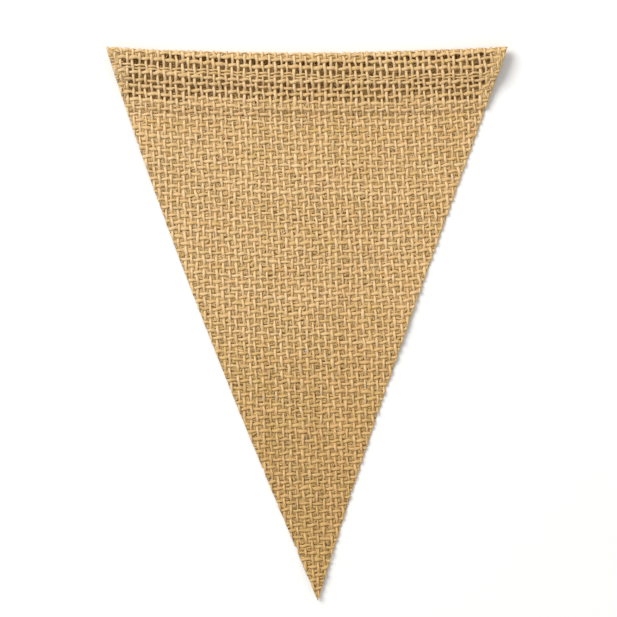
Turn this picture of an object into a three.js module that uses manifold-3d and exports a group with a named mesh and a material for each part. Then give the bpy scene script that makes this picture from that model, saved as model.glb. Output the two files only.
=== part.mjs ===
// A burlap bunting pennant, lying face up on a table.
// It is one piece of coarse jute cloth: a long triangle whose top is turned to the back and glued down
// along its free edge, which leaves a flat channel for the string.
//
// Millimetres. X runs across the pennant, Y from its tip to its folded top, and Z up from the table.
// The origin is on the table, in the middle of the pennant's width and height. The shapes are drawn
// with the tip's end at y 0, and the finished cloth is moved down by half its height.

import * as THREE from "three";
import { mergeVertices } from "three/addons/utils/BufferGeometryUtils.js";
import Module from "manifold-3d";

// The cut: a long triangle, a little uneven as cloth is.
const WIDTH = 126; // between the two top corners
const HEIGHT = 174; // from the tip to the top corners
const TIP_SHIFT = 3.5; // the tip lies this far to the right of the middle
const LEFT_BOW = 2.4; // the left side bows this far out, halfway down
const LEFT_BOW_LEAN = 0.75; // and more than that above its middle
const RIGHT_BOW = 1.4; // the right side bows this far in, halfway down
const RIGHT_BOW_LEAN = -0.7; // and less than that above its middle
const TOP_DIP = 1.8; // the folded top sags this far below the corners
const TOP_DIP_X = -7; // where the top is lowest

// The cloth and its hem, in section. Depths are measured down from the fold.
const CLOTH = 1.2; // thickness of one layer
const CHANNEL_GAP = 1.6; // clear height of the string channel
const CHANNEL_FLAT_END = 7.5; // down to here the channel keeps its full height
const GLUE_START = 13.5; // from here the two layers are glued together
const FLAP_END = 17; // the free edge of the turned-back flap
const STEP_END = 20.5; // below this the front lies on the table

// How the pennant lies: flat in the middle, with its stiff edges a little off the table.
const LIFTS = [
  { name: "top left corner", x: -63, y: 174, height: 1.6, reach: 24 },
  { name: "top right corner", x: 63, y: 174, height: 1.3, reach: 20 },
  { name: "left edge under the hem", x: -54, y: 142, height: 1.1, reach: 22 },
  { name: "right edge, halfway", x: 34, y: 84, height: 0.8, reach: 22 },
  { name: "tip", x: 3.5, y: 0, height: 0.9, reach: 26 },
];

// How finely the curves are stepped.
const STEPS_ACROSS = 36;
const STEPS_PER_SIDE = 24;
const STEPS_PER_FOLD = 10;
const STEPS_PER_EASE = 6;
const BODY_STEP = 8;
const MARGIN = 6; // the blank reaches this far past the outline, before it is cut

const JUTE_COLOUR = 0xcca975;

const smooth = (t) => t * t * (3 - 2 * t);
const clamp01 = (t) => Math.min(1, Math.max(0, t));

// Where the folded top runs: a shallow sag between the corners.
function topEdgeY(x) {
  const reach = x < TOP_DIP_X ? TOP_DIP_X + WIDTH / 2 : WIDTH / 2 - TOP_DIP_X;
  const u = (x - TOP_DIP_X) / reach;
  return HEIGHT - TOP_DIP * (1 - u * u);
}

// Where a side runs: side is -1 for the left and 1 for the right,
// and v goes from 0 at the top to 1 at the tip.
function sideX(v, side) {
  const [halfway, lean] = side < 0 ? [LEFT_BOW, LEFT_BOW_LEAN] : [RIGHT_BOW, RIGHT_BOW_LEAN];
  const bow = halfway + lean * (1 - 2 * v);
  return TIP_SHIFT * v + (side * WIDTH * (1 - v)) / 2 - 4 * bow * v * (1 - v);
}

// How far the cloth is off the table. It is nothing over most of the pennant.
function liftAt(x, y) {
  const lifts = LIFTS.map((spot) => {
    const nearness = 1 - Math.hypot(x - spot.x, y - spot.y) / spot.reach;
    return spot.height * smooth(clamp01(nearness));
  });
  return Math.max(...lifts);
}

// The height of the front layer's underside, at a depth below the fold:
// over the channel, then on the flap, then on the table.
function frontUnderside(depth) {
  const overChannel = CLOTH + CHANNEL_GAP;
  const closing = smooth(clamp01((depth - CHANNEL_FLAT_END) / (GLUE_START - CHANNEL_FLAT_END)));
  const stepping = smooth(clamp01((depth - FLAP_END) / (STEP_END - FLAP_END)));
  return overChannel - CHANNEL_GAP * closing - CLOTH * stepping;
}

// Evenly spaced depths from one to another, both included.
function depthsBetween(from, to, steps) {
  return Array.from({ length: steps + 1 }, (_, i) => from + ((to - from) * i) / steps);
}

// A half circle round the fold's axis, from the flap's side up to the front's side.
function foldArc(radius) {
  const axis = CLOTH + CHANNEL_GAP / 2;
  return Array.from({ length: STEPS_PER_FOLD + 1 }, (_, i) => {
    const angle = -Math.PI / 2 + (Math.PI * i) / STEPS_PER_FOLD;
    return new THREE.Vector2(-axis + radius * Math.cos(angle), axis + radius * Math.sin(angle));
  });
}

// The section across the hem and down the body, as one outline with the channel as its hole.
// Its first axis is minus the depth below the fold, and its second is the height.
function clothSection() {
  const foldOuter = CLOTH + CHANNEL_GAP / 2;
  const foldInner = CHANNEL_GAP / 2;
  const bodyEnd = HEIGHT + MARGIN;
  const bodySteps = Math.round((bodyEnd - STEP_END) / BODY_STEP);
  const closing = depthsBetween(CHANNEL_FLAT_END, GLUE_START, STEPS_PER_EASE);
  const stepping = depthsBetween(FLAP_END, STEP_END, STEPS_PER_EASE);
  const body = depthsBetween(STEP_END, bodyEnd, bodySteps).slice(1);
  const at = (depth, height) => new THREE.Vector2(-depth, height);

  const underside = [...body].reverse().map((depth) => at(depth, 0));
  const underStep = [...stepping].reverse().map((depth) => at(depth, frontUnderside(depth)));
  const flapEdge = [at(FLAP_END, 0)];
  const outerFold = foldArc(foldOuter);
  const front = [...closing, ...stepping, ...body].map((depth) => at(depth, frontUnderside(depth) + CLOTH));
  const section = new THREE.Shape([...underside, ...underStep, ...flapEdge, ...outerFold, ...front]);

  const channelTop = closing.map((depth) => at(depth, frontUnderside(depth)));
  section.holes.push(new THREE.Path([...foldArc(foldInner), ...channelTop]));
  return section;
}

// The section drawn out across the pennant, following the sagging top and the lifted edges.
function foldedBlank() {
  const span = WIDTH + 2 * MARGIN;
  const blank = new THREE.ExtrudeGeometry(clothSection(), {
    depth: span,
    steps: STEPS_ACROSS,
    bevelEnabled: false,
  });
  const points = blank.getAttribute("position");
  for (let i = 0; i < points.count; i++) {
    const x = points.getZ(i) - span / 2;
    const y = topEdgeY(x) + points.getX(i);
    points.setXYZ(i, x, y, points.getY(i) + liftAt(x, y));
  }
  return blank;
}

// The outline, as a tall block to cut the blank with.
// Above the corners it goes straight up, clear of the fold.
function outlineBlock() {
  const side = (sign) =>
    Array.from({ length: STEPS_PER_SIDE }, (_, i) => {
      const v = i / STEPS_PER_SIDE;
      return new THREE.Vector2(sideX(v, sign), HEIGHT * (1 - v));
    });
  const tip = new THREE.Vector2(TIP_SHIFT, 0);
  const above = [
    new THREE.Vector2(WIDTH / 2, HEIGHT + MARGIN),
    new THREE.Vector2(-WIDTH / 2, HEIGHT + MARGIN),
  ];
  const outline = new THREE.Shape([...above, ...side(-1), tip, ...side(1).reverse()]);
  const block = new THREE.ExtrudeGeometry(outline, { depth: 4 * MARGIN, bevelEnabled: false });
  return block.translate(0, 0, -2 * MARGIN);
}

const wasm = await Module();
wasm.setup();

// A closed geometry as a solid that can be cut.
function toSolid(geometry) {
  geometry.deleteAttribute("normal");
  geometry.deleteAttribute("uv");
  const merged = mergeVertices(geometry, 1e-4);
  const mesh = new wasm.Mesh({
    numProp: 3,
    vertProperties: new Float32Array(merged.getAttribute("position").array),
    triVerts: new Uint32Array(merged.index.array),
  });
  return new wasm.Manifold(mesh);
}

// A solid as a geometry that can be drawn.
function toGeometry(solid) {
  const mesh = solid.getMesh();
  const geometry = new THREE.BufferGeometry();
  geometry.setAttribute("position", new THREE.BufferAttribute(mesh.vertProperties, 3));
  geometry.setIndex(new THREE.BufferAttribute(mesh.triVerts, 1));
  geometry.computeVertexNormals();
  return geometry;
}

// The pennant: the folded cloth, cut to its outline.
function pennantCloth() {
  const solid = toSolid(foldedBlank()).intersect(toSolid(outlineBlock()));
  const jute = new THREE.MeshStandardMaterial({ color: JUTE_COLOUR, roughness: 0.9, metalness: 0 });
  const mesh = new THREE.Mesh(toGeometry(solid), jute);
  mesh.name = "pennant_cloth";
  mesh.position.y = -HEIGHT / 2;
  return mesh;
}

const bunting = new THREE.Group();
bunting.add(pennantCloth());

export default bunting;
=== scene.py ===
"""A burlap bunting pennant, woven yarn by yarn over the solid's outline and folds.

The cloth is laid out in its own coordinates: x runs across it, and s runs along it from the fold,
down the front where it is above 0 and down the turned-back flap where it is below 0. Over the yarns
lie short fibre bundles, the fuzz that half closes the gaps of the weave, and fine loose hairs.
"""

import math
from types import SimpleNamespace

import bmesh
import bpy
import numpy as np
from bpy.props import FloatProperty, FloatVectorProperty, IntProperty, PointerProperty
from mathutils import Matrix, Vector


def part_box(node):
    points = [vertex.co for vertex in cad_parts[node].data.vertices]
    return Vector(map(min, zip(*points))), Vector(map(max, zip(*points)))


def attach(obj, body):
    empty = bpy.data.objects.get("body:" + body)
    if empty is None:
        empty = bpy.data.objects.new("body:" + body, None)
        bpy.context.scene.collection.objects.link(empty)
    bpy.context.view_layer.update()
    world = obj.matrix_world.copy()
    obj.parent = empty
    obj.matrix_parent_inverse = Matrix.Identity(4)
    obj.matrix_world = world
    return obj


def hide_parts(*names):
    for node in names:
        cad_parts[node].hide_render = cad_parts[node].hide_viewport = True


bl_info = {
    "name": "Burlap Pennant",
    "version": (1, 0, 0),
    "blender": (4, 5, 0),
    "location": "3D View > Sidebar > Pennant",
    "description": "Weaves a burlap bunting pennant from jute yarns and sets a pale stage round it",
    "category": "Add Mesh",
}

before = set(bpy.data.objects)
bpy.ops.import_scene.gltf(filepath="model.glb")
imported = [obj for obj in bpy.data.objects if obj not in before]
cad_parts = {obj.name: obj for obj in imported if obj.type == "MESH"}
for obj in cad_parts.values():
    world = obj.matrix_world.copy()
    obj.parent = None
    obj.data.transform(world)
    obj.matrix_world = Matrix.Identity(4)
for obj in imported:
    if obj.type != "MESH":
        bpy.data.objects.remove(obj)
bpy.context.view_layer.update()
CLOTH_NODE = "pennant_cloth"
NODE_LOW, NODE_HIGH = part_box(CLOTH_NODE)
NODE_SIZE = NODE_HIGH - NODE_LOW
JUTE_MATERIAL = "jute_yarn"
MM = 0.001
SAMPLE = 0.05 * MM  # how closely a yarn's course is looked at, to find where it is cut
STEPS_PER_CELL = 5  # rings of a yarn from one crossing to the next

# Where the stiff cloth stands a little off the table, as the solid does.
LIFTS = [
    {"name": "top left corner", "x": -63, "y": 87, "height": 1.6, "reach": 24},
    {"name": "top right corner", "x": 63, "y": 87, "height": 1.3, "reach": 20},
    {"name": "left edge under the hem", "x": -54, "y": 55, "height": 1.1, "reach": 22},
    {"name": "right edge, halfway", "x": 34, "y": -3, "height": 0.8, "reach": 22},
    {"name": "tip", "x": 3.5, "y": -87, "height": 0.9, "reach": 26},
]

# The woven pieces, each from one depth below the fold to the next. The first takes in the flap.
WOVEN_PIECES = [
    {"name": "hem_weave", "fuzz": "hem_fuzz", "from": -30, "to": 20, "held": "folded"},
    {"name": "upper_weave", "fuzz": "upper_fuzz", "from": 20, "to": 64, "held": "laid"},
    {"name": "lower_weave", "fuzz": "lower_fuzz", "from": 64, "to": 180, "held": "laid"},
]


def length(name, default_mm, description):
    """A size that a user can change, given here in millimetres."""
    return FloatProperty(
        name=name, default=default_mm * MM, description=description, unit="LENGTH", precision=5
    )


def ratio(name, default, description):
    """A plain number that a user can change."""
    return FloatProperty(name=name, default=default, description=description, precision=4)


def colour(name, default, description):
    """A colour that a user can change."""
    return FloatVectorProperty(
        name=name, default=default, description=description, subtype="COLOR", min=0, max=1
    )


class PennantCloth(bpy.types.PropertyGroup):
    """The cut and folded cloth, before its weave."""

    width: FloatProperty(
        name="Width", default=NODE_SIZE.x, description="Between the top corners", unit="LENGTH"
    )
    height: FloatProperty(
        name="Height", default=NODE_SIZE.y, description="From the tip to the corners", unit="LENGTH"
    )
    tip_shift: length("Tip shift", 3.5, "How far right of the middle the tip lies")
    left_bow: length("Left bow", 2.4, "How far the left side bows out, halfway down")
    left_bow_lean: length("Left bow lean", 0.75, "How much more it bows above its middle")
    right_bow: length("Right bow", 1.4, "How far the right side bows in, halfway down")
    right_bow_lean: length("Right bow lean", -0.7, "How much more it bows above its middle")
    top_dip: length("Top dip", 1.8, "How far the folded top sags")
    top_dip_x: length("Top dip place", -7, "Where the folded top is lowest")
    layer: length("Layer", 1.2, "Thickness of one layer of cloth")
    channel_gap: length("Channel gap", 1.6, "Clear height of the string channel")
    channel_flat_end: length("Channel flat end", 7.5, "Depth to which the channel keeps its height")
    glue_start: length("Glue start", 13.5, "Depth from which the two layers are glued")
    flap_end: length("Flap end", 17, "Depth of the flap's free edge")
    step_end: length("Step end", 20.5, "Depth below which the front lies on the table")


class PennantWeave(bpy.types.PropertyGroup):
    """The plain weave of single jute yarns."""

    warp_pitch: length("Warp pitch", 1.935, "Between lengthwise yarns at the hem")
    weft_pitch: length("Weft pitch", 2.21, "Between crosswise yarns")
    warp_width: length("Warp width", 0.82, "Width of a lengthwise yarn")
    weft_width: length("Weft width", 0.94, "Width of a crosswise yarn")
    yarn_thickness: length("Yarn thickness", 0.6, "Through the cloth")
    first_warp_x: length("First warp", -2.12, "Where a lengthwise yarn crosses the hem")
    first_weft_s: length("First weft", 5.29, "Where a crosswise yarn lies under the fold")
    lean: ratio("Lean", 0.025, "How far the warp leans to the right, going down")
    spread: ratio("Spread", 0.318, "How much more it leans for each metre to the right")
    row_low_x: length("Row low place", 26.2, "Where the crosswise rows are lowest")
    row_rise_left: ratio("Row rise left", 0.54, "Curve of the rows to the left of there")
    row_rise_right: ratio("Row rise right", 1.24, "Curve of the rows to the right of there")
    twist_length: length("Twist", 6, "Length of yarn to one turn of its twist")
    sides: IntProperty(name="Sides", default=6, description="Sides of a yarn's tube")
    warp_rise: length("Warp rise", 0.37, "How far the warp rises and dips through the cloth")
    weft_rise: length("Weft rise", 0.2, "How far the weft rises and dips through the cloth")
    seed: IntProperty(name="Seed", default=7, description="Picks another uneven cloth")


class PennantFibres(bpy.types.PropertyGroup):
    """What stands out of the yarns: fuzz across the gaps, and fine loose hairs over the face."""

    fuzz_per_gap: IntProperty(name="Fuzz a gap", default=7, description="Fibre bundles in each gap")
    hem_fuzz: IntProperty(name="Fuzz in the hem", default=0, description="The same, in the hem's front")
    edge_fuzz: FloatProperty(
        name="Fuzz at the cuts", default=3.0, description="Fibre bundles along each millimetre of cut"
    )
    fuzz_width: length("Fuzz width", 0.46, "Width of a fibre bundle")
    fuzz_length: length("Fuzz length", 2.5, "Usual length of a fibre bundle")
    hairs: IntProperty(name="Hairs", default=4000, description="Fine loose hairs")
    hair_width: length("Hair width", 0.06, "Thickness of a hair")
    hair_length: length("Hair length", 2.2, "Usual length of a hair")
    seed: IntProperty(name="Seed", default=11, description="Picks other fibres")


class PennantJute(bpy.types.PropertyGroup):
    """The colours of natural jute."""

    pale: colour("Pale", (0.80, 0.575, 0.31), "Well scutched, clean fibre")
    golden: colour("Golden", (0.66, 0.44, 0.165), "Oily, golden fibre")
    rosy: colour("Rosy", (0.70, 0.44, 0.19), "Fibre with a pinkish cast")
    dark: colour("Dark", (0.26, 0.15, 0.04), "Bark and shaded fibre")


class PennantStage(bpy.types.PropertyGroup):
    """The camera, the table top and the light."""

    camera_distance: length("Camera distance", 1300, "From the camera to the table")
    view_width: length("View width", 193.7, "Width of table that the picture shows")
    view_x: length("View middle X", 0.55, "Middle of the picture, across")
    view_y: length("View middle Y", 4.7, "Middle of the picture, up")
    table: colour("Table", (0.9, 0.9, 0.89), "Pale table top")
    key: FloatProperty(name="Key light", default=55.0, description="Power of the key light")
    fill: FloatProperty(name="Fill light", default=0.6, description="Strength of the sky light")


def smooth(t):
    """Eases from 0 to 1."""
    t = np.clip(t, 0, 1)
    return t * t * (3 - 2 * t)


def top_edge(cloth, x):
    """Where the folded top runs: a shallow sag between the corners."""
    half = cloth.width / 2
    reach = np.where(x < cloth.top_dip_x, cloth.top_dip_x + half, half - cloth.top_dip_x)
    u = (x - cloth.top_dip_x) / reach
    return cloth.height / 2 - cloth.top_dip * (1 - u * u)


def side_edge(cloth, y, side):
    """Where a side runs: side is -1 for the left and 1 for the right."""
    v = 0.5 - y / cloth.height
    left, right = (cloth.left_bow, cloth.left_bow_lean), (cloth.right_bow, cloth.right_bow_lean)
    halfway, lean = left if side < 0 else right
    bow = halfway + lean * (1 - 2 * v)
    return cloth.tip_shift * v + side * cloth.width * (1 - v) / 2 - 4 * bow * v * (1 - v)


def lift_at(x, y):
    """How far the cloth is off the table."""
    height = np.zeros(np.broadcast(x, y).shape)
    for spot in LIFTS:
        away = np.hypot(x - spot["x"] * MM, y - spot["y"] * MM)
        rise = spot["height"] * MM * smooth(1 - away / (spot["reach"] * MM))
        height = np.maximum(height, rise)
    return height


def hem_section(cloth):
    """The middle of the cloth in section, from below the flap's edge, over the fold, to past the tip.

    For each point it has its place along the cloth, its depth below the fold and its height off the
    table, and the way out of the cloth's face. The first points are the flap's, and the last the front's.
    """
    axis = cloth.layer + cloth.channel_gap / 2
    radius = (cloth.layer + cloth.channel_gap) / 2
    past = 12 * MM
    flap = np.linspace(cloth.flap_end + past, axis, 60)
    turn = np.linspace(-math.pi / 2, math.pi / 2, 41)[1:-1]
    front = np.linspace(axis, cloth.height + past, 900)
    closing = smooth((front - cloth.channel_flat_end) / (cloth.glue_start - cloth.channel_flat_end))
    stepping = smooth((front - cloth.flap_end) / (cloth.step_end - cloth.flap_end))
    underside = cloth.layer + cloth.channel_gap - cloth.channel_gap * closing - cloth.layer * stepping
    depth = np.concatenate([flap, axis - radius * np.cos(turn), front])
    height = np.concatenate(
        [np.full(len(flap), cloth.layer / 2), axis + radius * np.sin(turn), underside + cloth.layer / 2]
    )
    along = np.concatenate([[0], np.cumsum(np.hypot(np.diff(depth), np.diff(height)))])
    turned = slice(len(flap), len(flap) + len(turn))
    apex = np.interp(axis, height[turned], along[turned])
    slope_depth = np.gradient(depth, along)
    slope_height = np.gradient(height, along)
    return SimpleNamespace(
        s=along - apex,
        depth=depth,
        height=height,
        out_depth=-slope_height,
        out_height=slope_depth,
        flap=slice(0, len(flap)),
        front=slice(len(flap) + len(turn), None),
    )


def on_cloth(cloth, section, x, s, out):
    """Points in space for places on the cloth, each moved out of its face by out."""
    depth = np.interp(s, section.s, section.depth)
    height = np.interp(s, section.s, section.height)
    out_depth = np.interp(s, section.s, section.out_depth)
    out_height = np.interp(s, section.s, section.out_height)
    y = top_edge(cloth, x) - depth - out_depth * out
    z = height + out_height * out + lift_at(x, y)
    return np.stack([x, y, z], -1)


def face_normals(section, s):
    """The way out of the cloth's face at places on it."""
    out_depth = np.interp(s, section.s, section.out_depth)
    out_height = np.interp(s, section.s, section.out_height)
    return np.stack([np.zeros_like(s), -out_depth, out_height], -1)


def inside(cloth, section, x, s, inset=0.0):
    """True where a place on the cloth is inside its cut edges."""
    depth = np.interp(s, section.s, section.depth)
    y = top_edge(cloth, x) - depth
    flap_edge = np.interp(-cloth.flap_end, -section.depth[section.flap], section.s[section.flap])
    in_sides = (x > side_edge(cloth, y, -1) + inset) & (x < side_edge(cloth, y, 1) - inset)
    return in_sides & (s > flap_edge) & (y > -cloth.height / 2)


def uneven(rng, t, spacing):
    """Smooth noise of about unit size along t, with a new value every spacing."""
    place = (t - t.min()) / spacing + rng.random()
    cell = np.floor(place).astype(int)
    knots = rng.normal(size=cell.max() + 2)
    mix = smooth(place - cell)
    return knots[cell] * (1 - mix) + knots[cell + 1] * mix


def row_shape(weave, x):
    """How far up a crosswise row is bent at x."""
    away = x - weave.row_low_x
    return np.where(away < 0, weave.row_rise_left, weave.row_rise_right) * away * away


class Loom:
    """Where the yarns run and cross, in cloth coordinates.

    Warps are numbered to both sides from the one at first_warp_x. Rows of weft are numbered along the
    cloth, from the flap to the tip, and the row at first_weft_s is FIRST_ROW.
    """

    FIRST_ROW = 10
    # A thin extra weft lies between two rows, at this row number. The row before it is thin too.
    EXTRA_ROW = 11.45
    THIN_ROW = 11
    EXTRA_WIDTH = 0.5 * MM
    THIN_WIDTH = 0.72 * MM
    # A yarn wanders off its line in waves this long, each wave weaker than the last.
    WAVES = np.array([61, 37, 23, 13, 8.5]) * MM
    WARP_WANDER = (0.16, 0.12, 0.09, 0.07, 0.05)
    ROW_WANDER = (0.14, 0.11, 0.09, 0.07, 0.05)
    # The flap's corners are tucked in under the front, left of one line and along the right side.
    TUCK_X = -57.2 * MM
    TUCK_BAND = 2.9 * MM

    def __init__(self, cloth, weave):
        self.cloth, self.weave = cloth, weave
        self.section = hem_section(cloth)
        rng = np.random.default_rng(weave.seed)
        self.warps = np.arange(-34, 35)
        self.rows = np.arange(-2, 90)
        self.warp_offset = rng.normal(size=len(self.warps)) * 0.07 * MM
        self.row_offset = rng.normal(size=len(self.rows)) * 0.09 * MM
        waves = len(self.WAVES)
        self.warp_knots = rng.normal(size=(len(self.warps), waves)) * self.WARP_WANDER
        self.row_knots = rng.normal(size=(len(self.rows), waves)) * self.ROW_WANDER
        self.find_crossings()

    def wander(self, knots, t):
        """A yarn's slow drift to one side, at places along it. Its knots are the heights of its waves."""
        # Any phases will do that differ from yarn to yarn.
        phases = np.arange(len(self.WAVES)) * 1.7 + knots.sum(-1, keepdims=True) * 40
        turns = 2 * math.pi * t[..., None] / self.WAVES + phases
        return (knots * np.sin(turns)).sum(-1) * MM

    def warp_x(self, i, s):
        """Where a warp runs, at places along the cloth."""
        weave = self.weave
        base = weave.first_warp_x + self.warps[i] * weave.warp_pitch + self.warp_offset[i]
        lean = weave.lean + weave.spread * (base - weave.first_warp_x)
        return base + (s - weave.first_weft_s) * lean + self.wander(self.warp_knots[i], s)

    def row_s(self, k, x, shift=0.0):
        """Where a row of weft runs, at places across the cloth. It can be shifted by a part of a row."""
        weave = self.weave
        row = self.rows[k] + shift - self.FIRST_ROW
        base = weave.first_weft_s + row * weave.weft_pitch + self.row_offset[k]
        zero = np.zeros(1)
        edge = top_edge(self.cloth, x) - top_edge(self.cloth, zero)
        shape = row_shape(weave, x) - row_shape(weave, zero)
        return base + edge - shape + self.wander(self.row_knots[k], x)

    def find_crossings(self):
        """Finds where each warp crosses each row, closer with each pass."""
        i = np.arange(len(self.warps))[:, None]
        k = np.arange(len(self.rows))[None, :]
        row = self.rows[None, :] - self.FIRST_ROW
        self.cross_s = np.repeat(self.weave.first_weft_s + row * self.weave.weft_pitch, len(self.warps), 0)
        for _ in range(4):
            self.cross_x = self.warp_x(i, self.cross_s)
            self.cross_s = self.row_s(k, self.cross_x)

    def gaps(self):
        """The middles of the gaps between the yarns."""
        x = (self.cross_x[1:, 1:] + self.cross_x[:-1, :-1]) / 2
        s = (self.cross_s[1:, 1:] + self.cross_s[:-1, :-1]) / 2
        return x.ravel(), s.ravel()


def tuck_yarns(loom, rng):
    """The yarns of the flap's corners, which lie just under the front, along its cut sides."""
    weave, cloth = loom.weave, loom.cloth
    spacing, under_front = 0.95, 0.95 * MM
    sample, shortest = 0.1 * MM, 2 * MM
    left_insets, right_insets = np.arange(0.55, 6, spacing), np.arange(0.5, 2.9, spacing)
    yarns = []
    for side, insets in ((-1, left_insets), (1, right_insets)):
        for inset in insets * MM:
            s = np.arange(1.2 * MM, 17.5 * MM, sample)
            x = side_edge(cloth, cloth.height / 2 - s, side) - side * inset
            ok = x < loom.TUCK_X if side < 0 else s > 0
            if ok.sum() * sample < shortest:
                continue
            start, end = s[ok][0], s[ok][-1]
            s = yarn_samples(start, end, weave.weft_pitch / STEPS_PER_CELL)
            x = side_edge(cloth, cloth.height / 2 - s, side) - side * inset
            over = 0.5 * np.sin(s / (1.1 * MM) + inset / MM * 3)
            yarns.append(
                SimpleNamespace(
                    x=x + 0.08 * MM * uneven(rng, s, 2 * MM),
                    s=s,
                    out=-under_front + 0.15 * MM * over,
                    over=over,
                    along=s - start,
                    width=weave.warp_width,
                    is_warp=True,
                )
            )
    return yarns


def crimp(phase):
    """A yarn's height as it passes over and under: rounded, and a little flat on each float."""
    wave = np.cos(math.pi * phase)
    return wave * (1.18 - 0.18 * wave * wave)


def stretch_inside(loom, x, s, width):
    """The first and last of the samples whose yarn reaches inside the cut cloth, or None."""
    reach = 0.42 * width
    ok = inside(loom.cloth, loom.section, x, s, -reach)
    if not ok.any():
        return None
    runs = np.flatnonzero(np.diff(np.concatenate([[0], ok.astype(int), [0]])))
    starts, ends = runs[::2], runs[1::2]
    longest = np.argmax(ends - starts)
    return starts[longest], ends[longest] - 1


def yarn_samples(start, end, step):
    """Places along a yarn, with close ones at its ends for its blunt tips."""
    tip = 0.1 * MM
    count = max(int(round((end - start - 2 * tip) / step)), 2)
    middle = np.linspace(start + tip, end - tip, count + 1)
    return np.concatenate([[start, start], middle, [end, end]])


def tip_scale(count):
    """How thick a yarn is at each of its samples: its ends are closed and a little rounded."""
    scale = np.ones(count)
    scale[[0, -1]] = 0.0
    scale[[1, -2]] = 0.72
    return scale


def warp_yarn(loom, i, rng):
    """One lengthwise yarn, from the flap's free edge over the fold and down to where it is cut off."""
    weave = loom.weave
    s = np.arange(-30 * MM, 186 * MM, SAMPLE)
    found = stretch_inside(loom, loom.warp_x(i, s), s, weave.warp_width)
    if found is None:
        return None
    fray, shortest = abs(rng.normal()) * 0.25 * MM, 1.6 * MM
    start, end = s[found[0]] - fray, s[found[1]]
    if end - start < shortest:
        return None
    s = yarn_samples(start, end, weave.weft_pitch / STEPS_PER_CELL)
    phase = np.interp(s, loom.cross_s[i], loom.rows) + loom.warps[i]
    # It leans aside as it goes over and under each weft, and isn't straight between.
    sway = 0.1 * MM * np.sin(math.pi * phase) + 0.07 * MM * uneven(rng, s, 1.7 * MM)
    over = crimp(phase)
    return SimpleNamespace(
        x=loom.warp_x(i, s) + sway,
        s=s,
        out=over * weave.warp_rise,
        over=over,
        along=s - start,
        width=weave.warp_width * (1 + 0.07 * rng.normal()),
        is_warp=True,
    )


def weft_yarn(loom, k, rng, shift=0.0, width=None):
    """One crosswise yarn, from one cut side to the other."""
    weave = loom.weave
    x = np.arange(-70 * MM, 70 * MM, SAMPLE)
    found = stretch_inside(loom, x, loom.row_s(k, x, shift), weave.weft_width)
    if found is None:
        return None
    start, end = x[found[0]], x[found[1]]
    shortest = 1.2 * MM
    if end - start < shortest:
        return None
    x = yarn_samples(start, end, weave.warp_pitch / STEPS_PER_CELL)
    phase = np.interp(x, loom.cross_x[:, k], loom.warps) + loom.rows[k]
    # Each of its floats lies a little aslant.
    slant = 0.16 * MM * np.sin(math.pi * phase) + 0.08 * MM * uneven(rng, x, 1.6 * MM)
    over = -crimp(phase)
    return SimpleNamespace(
        x=x,
        s=loom.row_s(k, x, shift) + slant,
        out=over * weave.weft_rise,
        over=over,
        along=x - start,
        width=(width or weave.weft_width) * (1 + 0.07 * rng.normal()),
        is_warp=False,
    )


def trim_to_cut(cloth, rings, fray):
    """Moves what reaches more than a fray past the cut sides back, which leaves each yarn a cut face."""
    x, y = rings[..., 0], rings[..., 1]
    left, right = side_edge(cloth, y, -1) - fray, side_edge(cloth, y, 1) + fray
    middle = (left + right) / 2
    rings[..., 0] = np.clip(x, np.minimum(left, middle), np.maximum(right, middle))
    rings[..., 1] = np.maximum(y, -cloth.height / 2)


def tone(x, s):
    """How the cloth's tint drifts: painted shade on the flap, which lies in the dark of the channel, and a
    painted falloff of the key light, darker to the tip and paler to the left; it is also paler at a spot,
    and mottled warm and cool.
    """
    flap = smooth((0.5 * MM - s) / (2 * MM))
    low = smooth((s - 60 * MM) / (110 * MM))
    left = smooth((20 * MM - x) / (70 * MM))
    spot = smooth(1 - np.hypot(x + 53 * MM, s - 21 * MM) / (6 * MM))
    mottle = np.sin(x / (4.1 * MM) + 1.4 * np.sin(s / (6.3 * MM)))
    mottle *= np.cos(s / (5.2 * MM) + np.sin(x / (7.7 * MM)))
    # Painted light and shade: the flap darker and warmer for the channel's dark, the cloth darker to the
    # tip and paler to the left for the light's falloff.
    pale = -0.5 * flap - 1.0 * low + 0.2 * left + 0.5 * spot
    warm = 0.22 * mottle + 0.1 * left - 0.1 * spot + 0.5 * flap
    return np.stack([pale, warm, 0.7 * flap + 0.6 * low - 0.2 * spot], -1)


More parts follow.
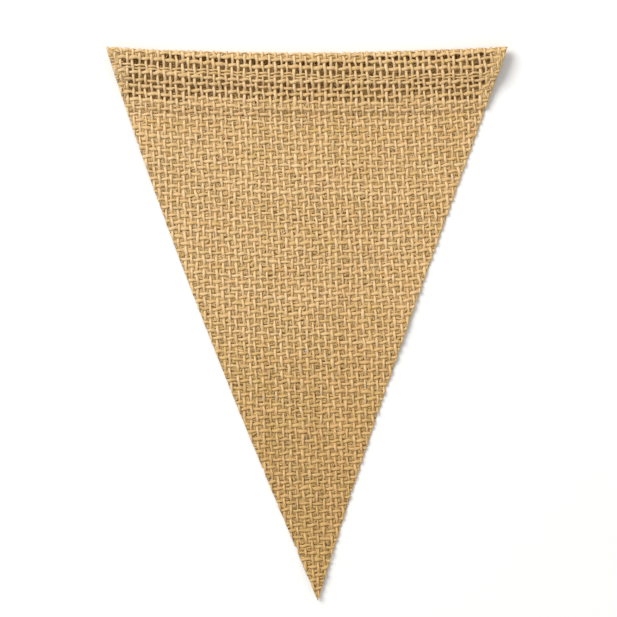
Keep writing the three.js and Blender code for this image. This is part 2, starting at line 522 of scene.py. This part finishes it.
def thicken(loom, yarn, rng):
    """Gives a yarn its uneven thickness, its twisted lobes and its tints, ring by ring."""
    weave = loom.weave
    t = yarn.along
    # Short slubs over a slow drift make it uneven, and it spreads on each float.
    slubs = 0.11 * uneven(rng, t, 1.5 * MM) + 0.08 * uneven(rng, t, 8 * MM)
    float_swell = 0.05 if yarn.is_warp else 0.13
    swell = 1 + np.clip(slubs, -0.26, 0.34) + float_swell * yarn.over
    tips = tip_scale(len(t))
    wide = yarn.width / 2 * swell * tips
    thick = weave.yarn_thickness / 2 * (1 + 0.5 * np.clip(slubs, -0.15, 0.2)) * tips
    centre = on_cloth(loom.cloth, loom.section, yarn.x, yarn.s, yarn.out)
    ahead = np.gradient(centre[1:-1], axis=0)
    ahead = np.concatenate([ahead[:1], ahead, ahead[-1:]])
    ahead /= np.linalg.norm(ahead, axis=1, keepdims=True)
    across = np.cross(ahead, face_normals(loom.section, yarn.s))
    across /= np.linalg.norm(across, axis=1, keepdims=True)
    up = np.cross(across, ahead)

    angle = np.linspace(0, 2 * math.pi, weave.sides + 1)[None, :]
    turned = angle - 2 * math.pi * t[:, None] / weave.twist_length
    lobes = rng.uniform(0, 2 * math.pi, 2)
    lumps = 1 + 0.055 * np.cos(3 * turned + lobes[0]) + 0.05 * np.cos(2 * turned + lobes[1])
    lumps += 0.04 * uneven(rng, t, 0.9 * MM)[:, None] * np.cos(angle)
    around = across[:, None, :] * (np.cos(angle) * lumps * wide[:, None])[..., None]
    through = up[:, None, :] * (np.sin(angle) * lumps * thick[:, None])[..., None]
    rings = centre[:, None, :] + around + through
    lowest, longest_fray = 0.02 * MM, 0.12 * MM
    rings[..., 2] = np.maximum(rings[..., 2], lowest)
    trim_to_cut(loom.cloth, rings, longest_fray * rng.random())

    strand = np.stack(
        [np.cos(turned) * wide[:, None], np.sin(turned) * wide[:, None], t[:, None] + 0 * turned], -1
    )
    strand += rng.uniform(0, 0.4, 3)
    # The warp is paler and cooler than the weft; the weft's darker value is partly painted shade, for
    # lying lower in the cloth, and partly its fuzzier fibre.
    paler, warmer = (0.3, -0.15) if yarn.is_warp else (-0.16, 0.1)
    pale = 0.5 + 0.15 * rng.normal() + 0.15 * uneven(rng, t, 6 * MM) + paler
    warm = 0.45 + 0.12 * rng.normal() + 0.2 * uneven(rng, t, 11 * MM) + warmer
    shade = 0.5 + 0.2 * uneven(rng, t, 3.1 * MM)
    tint = np.stack([pale, warm, shade], -1) + tone(yarn.x, yarn.s)
    tint = tint[:, None, :] + 0 * rings
    tint = np.clip(tint, 0, 1)
    return SimpleNamespace(rings=rings, strand=strand, tint=tint, along=t, s=yarn.s, is_warp=yarn.is_warp)


def cut_by_depth(tube, low, high):
    """A yarn's part between two places along the cloth, or None. A crosswise yarn is kept whole."""
    at = tube.s if tube.is_warp else np.full(len(tube.s), tube.s.mean())
    within = (at > low) & (at <= high)
    if within.all():
        return tube
    if within.sum() < 2:
        return None
    first, last = np.flatnonzero(within)[[0, -1]]
    last = min(last + 1, len(tube.s) - 1)
    # The part is closed at its ends: a ring is repeated there and drawn to its middle.
    closed = list(range(first, last + 1)) + [last]
    if tube.s[first] != tube.s[0]:
        closed.insert(0, first)
    rings = tube.rings[closed].copy()
    rings[0] = rings[0].mean(0)
    rings[-1] = rings[-1].mean(0)
    return SimpleNamespace(
        rings=rings,
        strand=tube.strand[closed],
        tint=tube.tint[closed],
        along=tube.along[closed],
        s=tube.s[closed],
    )


def fuzz_places(loom, fibres, rng, low, high):
    """Places in the gaps: few in the hem, whose gaps show dark, and many where its corners are tucked."""
    cloth, section = loom.cloth, loom.section
    x, s = loom.gaps()
    depth = np.interp(s, section.s, section.depth)
    y = top_edge(cloth, x) - depth
    tucked = (x < loom.TUCK_X) | (x > side_edge(cloth, y, 1) - loom.TUCK_BAND)
    copies = np.full(len(x), fibres.fuzz_per_gap)
    open_from, open_to = 2.6 * MM, cloth.flap_end - 1.3 * MM
    copies[(s > open_from) & (depth < open_to) & ~tucked] = fibres.hem_fuzz
    in_corner = tucked & (s > 0) & (depth < cloth.flap_end)
    copies[in_corner] *= 3
    copies[~inside(cloth, section, x, s, -0.5 * MM) | (s <= low) | (s > high)] = 0
    turn = np.arange(copies.sum()) - np.repeat(np.cumsum(copies) - copies, copies)
    x, s, in_corner, copies = (np.repeat(values, copies) for values in (x, s, in_corner, copies))
    # Broad mats lie lowest in each gap, one crosswise and two lengthwise. The narrow bundles over
    # them bridge the gap side by side, half of them crosswise and half lengthwise.
    mat_spreads, mat_breadth = (0, 0.26, -0.26), 3.2
    mats = len(mat_spreads)
    lengthwise, is_mat = (turn % 2) | (turn == 2), turn < mats
    share = ((turn - mats) // 2 + rng.random(len(turn))) * 2 / np.maximum(copies - mats, 1)
    spread = np.where(is_mat, np.choose(turn.clip(0, mats - 1), mat_spreads), share - 0.5)
    stray = np.where(is_mat, 0.06, 0.2) * MM
    gap_across, gap_along = 1.25 * MM, 1.5 * MM
    x = x + np.where(lengthwise, spread * gap_across, rng.normal(size=len(x)) * stray)
    s = s + np.where(lengthwise, rng.normal(size=len(s)) * stray, spread * gap_along)
    heading = (lengthwise / 2 + rng.normal(size=len(x)) * 0.09) * math.pi
    lift = in_corner * rng.uniform(0, 0.5 * MM, len(x)) - is_mat * 0.05 * MM
    broad = np.where(is_mat, mat_breadth, 1.0)
    # More bundles lie along the cut sides, just inside them.
    for side in (-1, 1):
        along = rng.uniform(low, high, int((high - low) / MM * fibres.edge_fuzz))
        y = cloth.height / 2 - np.interp(along, section.s, section.depth)
        edge = side_edge(cloth, y, side)
        lean = (side_edge(cloth, y - MM, side) - edge) / MM
        x = np.append(x, edge - side * rng.uniform(0.05, 0.6, len(along)) * MM)
        s = np.append(s, along)
        lift = np.append(lift, rng.uniform(0, 0.2, len(along)) * MM)
        heading = np.append(heading, np.arctan2(1, lean) + rng.normal(size=len(along)) * 0.2)
        broad = np.append(broad, np.ones(len(along)))
    ok = inside(cloth, section, x, s)
    return SimpleNamespace(x=x[ok], s=s[ok], lift=lift[ok], heading=heading[ok], broad=broad[ok])


def scattered(cloth, section, rng, count, low, high):
    """Places spread evenly over the cloth between two depths along it."""
    x = rng.uniform(-cloth.width / 2, cloth.width / 2, 4 * count)
    s = rng.uniform(low, high, 4 * count)
    ok = np.flatnonzero(inside(cloth, section, x, s))[:count]
    return SimpleNamespace(
        x=x[ok],
        s=s[ok],
        lift=np.zeros(len(ok)),
        heading=rng.uniform(0, math.pi, len(ok)),
        broad=np.ones(len(ok)),
    )


def strands(cloth, section, rng, places, style):
    """Short tapering strands on the cloth: curved lines, each a tube of few sides."""
    x, s, lift, heading = places.x, places.s, places.lift, places.heading[:, None]
    count = len(x)
    t = np.linspace(-1, 1, style.rings)[None, :]
    # The broad mats are of more even size than the others, with blunt ends and a darker tint, which is
    # painted shade for the bottoms of the gaps.
    is_broad = places.broad > 1
    steady = np.where(is_broad, 0.3, 1.0)
    mat_painted_shade, tint_spread, lowest_out = (-0.4, 0.3, 0.5), (0.12, 0.22, 0.15), -0.52 * MM
    reach = style.length / 2 * (np.exp(0.35 * rng.normal(size=count) * steady) + 0.1 * is_broad)[:, None]
    bend = reach * rng.normal(0, style.bend, count)[:, None]
    hook = reach * rng.normal(0, style.bend / 2, count)[:, None]
    ahead = reach * t
    aside = bend * (1 - t * t) + hook * t * (1 - t * t) * 2
    line_x = x[:, None] + ahead * np.cos(heading) - aside * np.sin(heading)
    line_s = s[:, None] + ahead * np.sin(heading) + aside * np.cos(heading)
    low, high = style.out
    ends = rng.uniform(low, high, (2, count))[..., None]
    arch = rng.normal(0, style.arch, count)[:, None]
    out = lift[:, None] + ends[0] * (1 - t) / 2 + ends[1] * (1 + t) / 2 + arch * (1 - t * t)
    centre = on_cloth(cloth, section, line_x, line_s, np.maximum(out, lowest_out))
    along = np.gradient(centre, axis=1)
    along /= np.linalg.norm(along, axis=2, keepdims=True)
    across = np.cross(along, face_normals(section, line_s.ravel()).reshape(along.shape))
    across /= np.linalg.norm(across, axis=2, keepdims=True)
    up = np.cross(across, along)
    taper = np.where(is_broad[:, None], 1 - t**4, np.sqrt(np.clip(1 - t * t, 0, 1)))
    taper = taper * np.exp(0.4 * rng.normal(size=count) * steady)[:, None]
    angle = np.linspace(0, 2 * math.pi, style.sides + 1)
    wide = (style.width / 2 * taper * places.broad[:, None])[..., None]
    thick = (style.thickness / 2 * taper)[..., None]
    rings = centre[:, :, None] + across[:, :, None] * (wide * np.cos(angle))[..., None]
    rings = rings + up[:, :, None] * (thick * np.sin(angle))[..., None]
    rings[..., 2] = np.maximum(rings[..., 2], 0.01 * MM)
    trim_to_cut(cloth, rings, style.fray)
    strand = np.stack([wide * np.cos(angle), wide * np.sin(angle), ahead[..., None] + 0 * angle], -1)
    strand = strand + rng.uniform(0, 0.4, (count, 1, 1, 3))
    tint = rng.normal(style.tint, tint_spread, (count, 3)) + tone(x, s)
    tint += np.where(is_broad[:, None], mat_painted_shade, 0)
    tint = np.clip(tint[:, None, None, :] + 0 * rings, 0, 1)
    travelled = reach * (t + 1)
    parts = zip(rings, strand, tint, travelled)
    return [SimpleNamespace(rings=a, strand=b, tint=c, along=d) for a, b, c, d in parts]


def tubes_object(name, tubes, skin):
    """One mesh of closed tubes. Each is a band of one grid, rolled up and sewn along its seam."""
    rings = np.concatenate([t.rings for t in tubes])
    wide = rings.shape[1]
    counts = np.array([len(t.rings) for t in tubes])
    grid = bmesh.new()
    bmesh.ops.create_grid(grid, x_segments=wide - 1, y_segments=len(rings) - 1, size=1)
    mesh = bpy.data.meshes.new(name)
    grid.to_mesh(mesh)
    mesh.vertices.foreach_set("co", rings.astype(np.float32).ravel())
    for label in ("strand", "tint"):
        values = np.concatenate([getattr(t, label) for t in tubes]).astype(np.float32)
        attribute = mesh.attributes.new(label, "FLOAT_VECTOR", "POINT")
        attribute.data.foreach_set("vector", values.ravel())
    draw_bake_map(mesh, wide, np.concatenate([t.along for t in tubes]), counts, skin)

    grid.clear()
    grid.from_mesh(mesh)
    grid.faces.ensure_lookup_table()
    joins = np.cumsum(counts)[:-1] - 1
    between = [grid.faces[j * (wide - 1) + side] for j in joins for side in range(wide - 1)]
    bmesh.ops.delete(grid, geom=between, context="FACES_ONLY")
    loose = [edge for edge in grid.edges if not edge.link_faces]
    bmesh.ops.delete(grid, geom=loose, context="EDGES")
    bmesh.ops.remove_doubles(grid, verts=grid.verts, dist=1e-7)
    bmesh.ops.recalc_face_normals(grid, faces=grid.faces)
    for face in grid.faces:
        face.smooth = True
    grid.to_mesh(mesh)
    grid.free()
    thing = bpy.data.objects.new(name, mesh)
    bpy.context.scene.collection.objects.link(thing)
    return thing


def draw_bake_map(mesh, wide, along, counts, skin):
    """A map that lays every tube's skin, which is that wide, out flat in rows for baking."""
    apart, spare = 0.2 * MM, 1.02
    step = np.minimum(np.abs(np.diff(along)), 1 * MM)
    tube_number = np.repeat(np.arange(len(counts)), counts)
    travelled = np.concatenate([[0], np.cumsum(step)]) + tube_number * apart
    rows = math.ceil(math.sqrt(travelled[-1] / skin))
    row_length = travelled[-1] / rows * spare
    corner = np.empty(len(mesh.loops), np.int32)
    mesh.loops.foreach_get("vertex_index", corner)
    corner = corner.reshape(-1, 4)
    ring, column = corner // wide, corner % wide
    start = travelled[ring.min(1)]
    row = np.floor(start / row_length)
    u = (travelled[ring] - (row * row_length)[:, None]) / (row_length * spare)
    v = (row[:, None] + 0.04 + 0.92 * column / (wide - 1)) / (rows + 1)
    layer = mesh.uv_layers.new(name="OFBake")
    layer.uv.foreach_set("vector", np.stack([u, v], -1).astype(np.float32).ravel())


def new_group(name, inputs, outputs):
    """An empty shader node group with named sockets."""
    group = bpy.data.node_groups.new(name, "ShaderNodeTree")
    for label, kind, default in inputs:
        socket = group.interface.new_socket(label, in_out="INPUT", socket_type=kind)
        if default is not None:
            socket.default_value = default
    for label, kind in outputs:
        group.interface.new_socket(label, in_out="OUTPUT", socket_type=kind)
    return group, group.nodes.new("NodeGroupInput"), group.nodes.new("NodeGroupOutput")


def noise_node(tree, vector, scale, roughness):
    """Noise on a vector."""
    node = tree.nodes.new("ShaderNodeTexNoise")
    node.inputs["Scale"].default_value = scale
    node.inputs["Detail"].default_value = 2.0
    node.inputs["Roughness"].default_value = roughness
    tree.links.new(vector, node.inputs["Vector"])
    return node.outputs["Fac"]


def math_node(tree, operation, first, second, clamp=False):
    """Two values put together by an operation, each a number or a socket."""
    node = tree.nodes.new("ShaderNodeMath")
    node.operation = operation
    node.use_clamp = clamp
    for socket, value in zip(node.inputs, (first, second)):
        if isinstance(value, bpy.types.NodeSocket):
            tree.links.new(value, socket)
        else:
            socket.default_value = value
    return node.outputs[0]


def map_range(tree, value, low, high, to_low=0.0, to_high=1.0):
    """A value stretched from one range to another."""
    node = tree.nodes.new("ShaderNodeMapRange")
    tree.links.new(value, node.inputs["Value"])
    node.inputs["From Min"].default_value = low
    node.inputs["From Max"].default_value = high
    node.inputs["To Min"].default_value = to_low
    node.inputs["To Max"].default_value = to_high
    return node.outputs["Result"]


def mix_colours(tree, factor, first, second):
    """A mix of two colours, each a colour or a socket."""
    node = tree.nodes.new("ShaderNodeMix")
    node.data_type = "RGBA"
    tree.links.new(factor, node.inputs["Factor"])
    for socket, value in ((node.inputs["A"], first), (node.inputs["B"], second)):
        if isinstance(value, bpy.types.NodeSocket):
            tree.links.new(value, socket)
        else:
            socket.default_value = (*value, 1)
    return node.outputs["Result"]


def fibre_group():
    """Streaks that run along the twisted fibres of a yarn, as a value and as a height."""
    group, source, result = new_group(
        "Jute Fibres",
        [("Strand", "NodeSocketVector", None)],
        [("Streak", "NodeSocketFloat"), ("Height", "NodeSocketFloat")],
    )
    squeeze = group.nodes.new("ShaderNodeVectorMath")
    squeeze.operation = "MULTIPLY"
    squeeze.inputs[1].default_value = (1, 1, 0.12)
    group.links.new(source.outputs["Strand"], squeeze.inputs[0])
    fine = noise_node(group, squeeze.outputs[0], 9000, 0.6)
    coarse = noise_node(group, squeeze.outputs[0], 3200, 0.55)
    both = math_node(group, "ADD", math_node(group, "MULTIPLY", fine, 0.45), coarse)
    streak = map_range(group, both, 0.45, 1.0)
    group.links.new(streak, result.inputs["Streak"])
    group.links.new(both, result.inputs["Height"])
    return group


def colour_group(jute):
    """Jute's colour from a piece's tint and its fibre streaks."""
    group, source, result = new_group(
        "Jute Colour",
        [("Tint", "NodeSocketVector", None), ("Streak", "NodeSocketFloat", 0.5)],
        [("Color", "NodeSocketColor"), ("Roughness", "NodeSocketFloat")],
    )
    split = group.nodes.new("ShaderNodeSeparateXYZ")
    group.links.new(source.outputs["Tint"], split.inputs[0])
    pale, warm, shade = split.outputs
    hue = mix_colours(group, warm, jute.rosy, jute.golden)
    streak = source.outputs["Streak"]
    lightness = math_node(group, "ADD", pale, map_range(group, streak, 0, 1, -0.3, 0.3), clamp=True)
    body = mix_colours(group, lightness, hue, jute.pale)
    # Bark and painted shade: the shade channel, which also carries the painted shade of the flap and the
    # tip, draws the colour towards the dark jute.
    bark_and_shade = math_node(group, "MULTIPLY", math_node(group, "SUBTRACT", 1.0, streak), shade)
    body = mix_colours(group, map_range(group, bark_and_shade, 0.3, 0.9, 0, 0.55), body, jute.dark)
    group.links.new(body, result.inputs["Color"])
    group.links.new(map_range(group, streak, 0, 1, 0.95, 0.7), result.inputs["Roughness"])
    return group


def jute_material(name, fibres, colours, bump):
    """Matt natural jute, whose colour and relief follow the fibres of each yarn."""
    material = bpy.data.materials.new(name)
    material.use_nodes = True
    tree = material.node_tree
    shader = tree.nodes["Principled BSDF"]
    shader.inputs["Sheen Weight"].default_value = 0.04
    shader.inputs["Specular IOR Level"].default_value = 0.15
    strand = tree.nodes.new("ShaderNodeAttribute")
    strand.attribute_name = "strand"
    tint = tree.nodes.new("ShaderNodeAttribute")
    tint.attribute_name = "tint"
    streaks = tree.nodes.new("ShaderNodeGroup")
    streaks.node_tree = fibres
    tree.links.new(strand.outputs["Vector"], streaks.inputs["Strand"])
    paint = tree.nodes.new("ShaderNodeGroup")
    paint.node_tree = colours
    tree.links.new(tint.outputs["Vector"], paint.inputs["Tint"])
    tree.links.new(streaks.outputs["Streak"], paint.inputs["Streak"])
    relief = tree.nodes.new("ShaderNodeBump")
    relief.inputs["Strength"].default_value = bump
    relief.inputs["Distance"].default_value = 0.08 * MM
    tree.links.new(streaks.outputs["Height"], relief.inputs["Height"])
    tree.links.new(paint.outputs["Color"], shader.inputs["Base Color"])
    tree.links.new(paint.outputs["Roughness"], shader.inputs["Roughness"])
    tree.links.new(relief.outputs["Normal"], shader.inputs["Normal"])
    return material


def plain_material(name, base_colour, roughness):
    """A material of one even colour."""
    material = bpy.data.materials.new(name)
    material.use_nodes = True
    shader = material.node_tree.nodes["Principled BSDF"]
    shader.inputs["Base Color"].default_value = (*base_colour, 1)
    shader.inputs["Roughness"].default_value = roughness
    return material


class PENNANT_OT_stage(bpy.types.Operator):
    """Sets the camera above the pennant, a pale table top under it, and soft light from the top"""

    bl_idname = "pennant.stage"
    bl_label = "Set the Stage"

    def execute(self, context):
        stage = context.scene.pennant_stage
        data = bpy.data.cameras.new("view")
        data.sensor_width = 36
        data.lens = data.sensor_width * stage.camera_distance / stage.view_width
        data.clip_end = 20
        camera = bpy.data.objects.new("view", data)
        camera.location = (stage.view_x, stage.view_y, stage.camera_distance)
        context.scene.collection.objects.link(camera)
        context.scene.camera = camera

        top = bmesh.new()
        bmesh.ops.create_grid(top, x_segments=1, y_segments=1, size=3)
        mesh = bpy.data.meshes.new("table_top")
        top.to_mesh(mesh)
        top.free()
        table = bpy.data.objects.new("table_top", mesh)
        mesh.materials.append(plain_material("table_top", stage.table, 0.8))
        context.scene.collection.objects.link(table)

        lamp = bpy.data.lights.new("key", "AREA")
        lamp.shape = "RECTANGLE"
        lamp.size, lamp.size_y = 1.5, 1.3
        lamp.energy = stage.key
        key = bpy.data.objects.new("key", lamp)
        key.location = (-1.25, 1.25, 1.85)
        key.rotation_euler = (-key.location).to_track_quat("-Z", "Y").to_euler()
        context.scene.collection.objects.link(key)

        world = bpy.data.worlds.new("sky")
        world.use_nodes = True
        sky = world.node_tree.nodes["Background"]
        sky.inputs["Color"].default_value = (1, 1, 1, 1)
        sky.inputs["Strength"].default_value = stage.fill
        context.scene.world = world
        context.scene.view_settings.view_transform = "Standard"
        return {"FINISHED"}


class PENNANT_OT_weave(bpy.types.Operator):
    """Weaves the cloth yarn by yarn over its fold, and cuts it to the pennant's outline"""

    bl_idname = "pennant.weave"
    bl_label = "Weave the Cloth"

    def execute(self, context):
        scene = context.scene
        cloth, weave, jute = scene.pennant_cloth, scene.pennant_weave, scene.pennant_jute
        loom = Loom(cloth, weave)
        rng = np.random.default_rng(weave.seed + 1)
        yarns = [warp_yarn(loom, i, rng) for i in range(len(loom.warps))]
        for k, row in enumerate(loom.rows):
            thin = Loom.THIN_WIDTH if row == Loom.THIN_ROW else None
            yarns.append(weft_yarn(loom, k, rng, width=thin))
            if row == int(Loom.EXTRA_ROW):
                yarns.append(weft_yarn(loom, k, rng, Loom.EXTRA_ROW - row, Loom.EXTRA_WIDTH))
        yarns += tuck_yarns(loom, rng)
        tubes = [thicken(loom, yarn, rng) for yarn in yarns if yarn is not None]
        material = jute_material(JUTE_MATERIAL, fibre_group(), colour_group(jute), bump=0.6)
        yarn_skin, longer_for_taper = 2.6 * MM, 1.6
        for piece in WOVEN_PIECES:
            low, high = piece_span(loom, piece)
            parts = [cut_by_depth(tube, low, high) for tube in tubes]
            thing = tubes_object(piece["name"], [p for p in parts if p is not None], yarn_skin)
            dress(thing, material)
        return {"FINISHED"}


def piece_span(loom, piece):
    """Where a woven piece starts and ends, along the cloth. The first starts past the flap's edge."""
    depth, s = loom.section.depth[loom.section.front], loom.section.s[loom.section.front]
    ends = [piece["from"] * MM, piece["to"] * MM]
    return [np.interp(end, depth, s) if end > 0 else end for end in ends]


def dress(thing, material):
    """Gives a finished piece its material and ties it to the frame."""
    thing.data.materials.append(material)
    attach(thing, "root")
    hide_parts(CLOTH_NODE)


class PENNANT_OT_fibres(bpy.types.Operator):
    """Scatters fuzz across the gaps of the weave and fine loose hairs over its face"""

    bl_idname = "pennant.fibres"
    bl_label = "Scatter the Fibres"

    def execute(self, context):
        scene = context.scene
        cloth, fibres = scene.pennant_cloth, scene.pennant_fibres
        loom = Loom(cloth, scene.pennant_weave)
        rng = np.random.default_rng(fibres.seed)
        material = bpy.data.materials[JUTE_MATERIAL]
        fuzz_skin, hair_skin = 0.6 * MM, 0.2 * MM
        fuzz = SimpleNamespace(
            rings=5,
            sides=3,
            length=fibres.fuzz_length,
            width=fibres.fuzz_width,
            thickness=0.09 * MM,
            bend=0.2,
            arch=0.05 * MM,
            out=(-0.2 * MM, -0.08 * MM),
            fray=0.0,
            # Darker and warmer than the hairs: partly painted shade for the gaps that the fuzz lies in.
            tint=(0.42, 0.7, 0.45),
        )
        hair = SimpleNamespace(
            rings=5,
            sides=3,
            length=fibres.hair_length,
            width=fibres.hair_width,
            thickness=fibres.hair_width,
            bend=0.3,
            arch=0.2 * MM,
            out=(0.0, 0.5 * MM),
            fray=0.5 * MM,
            tint=(0.75, 0.55, 0.4),
        )
        for piece in WOVEN_PIECES:
            places = fuzz_places(loom, fibres, rng, *piece_span(loom, piece))
            tubes = strands(cloth, loom.section, rng, places, fuzz)
            dress(tubes_object(piece["fuzz"], tubes, fuzz_skin), material)
        places = scattered(cloth, loom.section, rng, fibres.hairs, -16 * MM, 175 * MM)
        tubes = strands(cloth, loom.section, rng, places, hair)
        dress(tubes_object("hairs", tubes, hair_skin), material)
        return {"FINISHED"}


class PENNANT_PT_build(bpy.types.Panel):
    """Lists the pennant's sizes and colours, and the steps that build it"""

    bl_idname = "PENNANT_PT_build"
    bl_label = "Burlap Pennant"
    bl_space_type = "VIEW_3D"
    bl_region_type = "UI"
    bl_category = "Pennant"

    def draw(self, context):
        for name, group in SETTINGS.items():
            box = self.layout.box()
            box.label(text=name.replace("_", " ").capitalize())
            for label in group.__annotations__:
                box.prop(getattr(context.scene, name), label)
        for step in (PENNANT_OT_stage, PENNANT_OT_weave, PENNANT_OT_fibres):
            self.layout.operator(step.bl_idname)


CLASSES = [
    PennantCloth,
    PennantWeave,
    PennantFibres,
    PennantJute,
    PennantStage,
    PENNANT_OT_stage,
    PENNANT_OT_weave,
    PENNANT_OT_fibres,
    PENNANT_PT_build,
]
SETTINGS = {
    "pennant_cloth": PennantCloth,
    "pennant_weave": PennantWeave,
    "pennant_fibres": PennantFibres,
    "pennant_jute": PennantJute,
    "pennant_stage": PennantStage,
}


def register():
    """Adds the classes, and the settings to every scene."""
    for item in CLASSES:
        bpy.utils.register_class(item)
    for name, group in SETTINGS.items():
        setattr(bpy.types.Scene, name, PointerProperty(type=group))


def unregister():
    """Takes them away again."""
    for name in SETTINGS:
        delattr(bpy.types.Scene, name)
    for item in reversed(CLASSES):
        bpy.utils.unregister_class(item)


def main():
    """Builds the stage and the pennant."""
    register()
    bpy.ops.pennant.stage()
    bpy.ops.pennant.weave()
    bpy.ops.pennant.fibres()


if __name__ == "__main__":
    main()
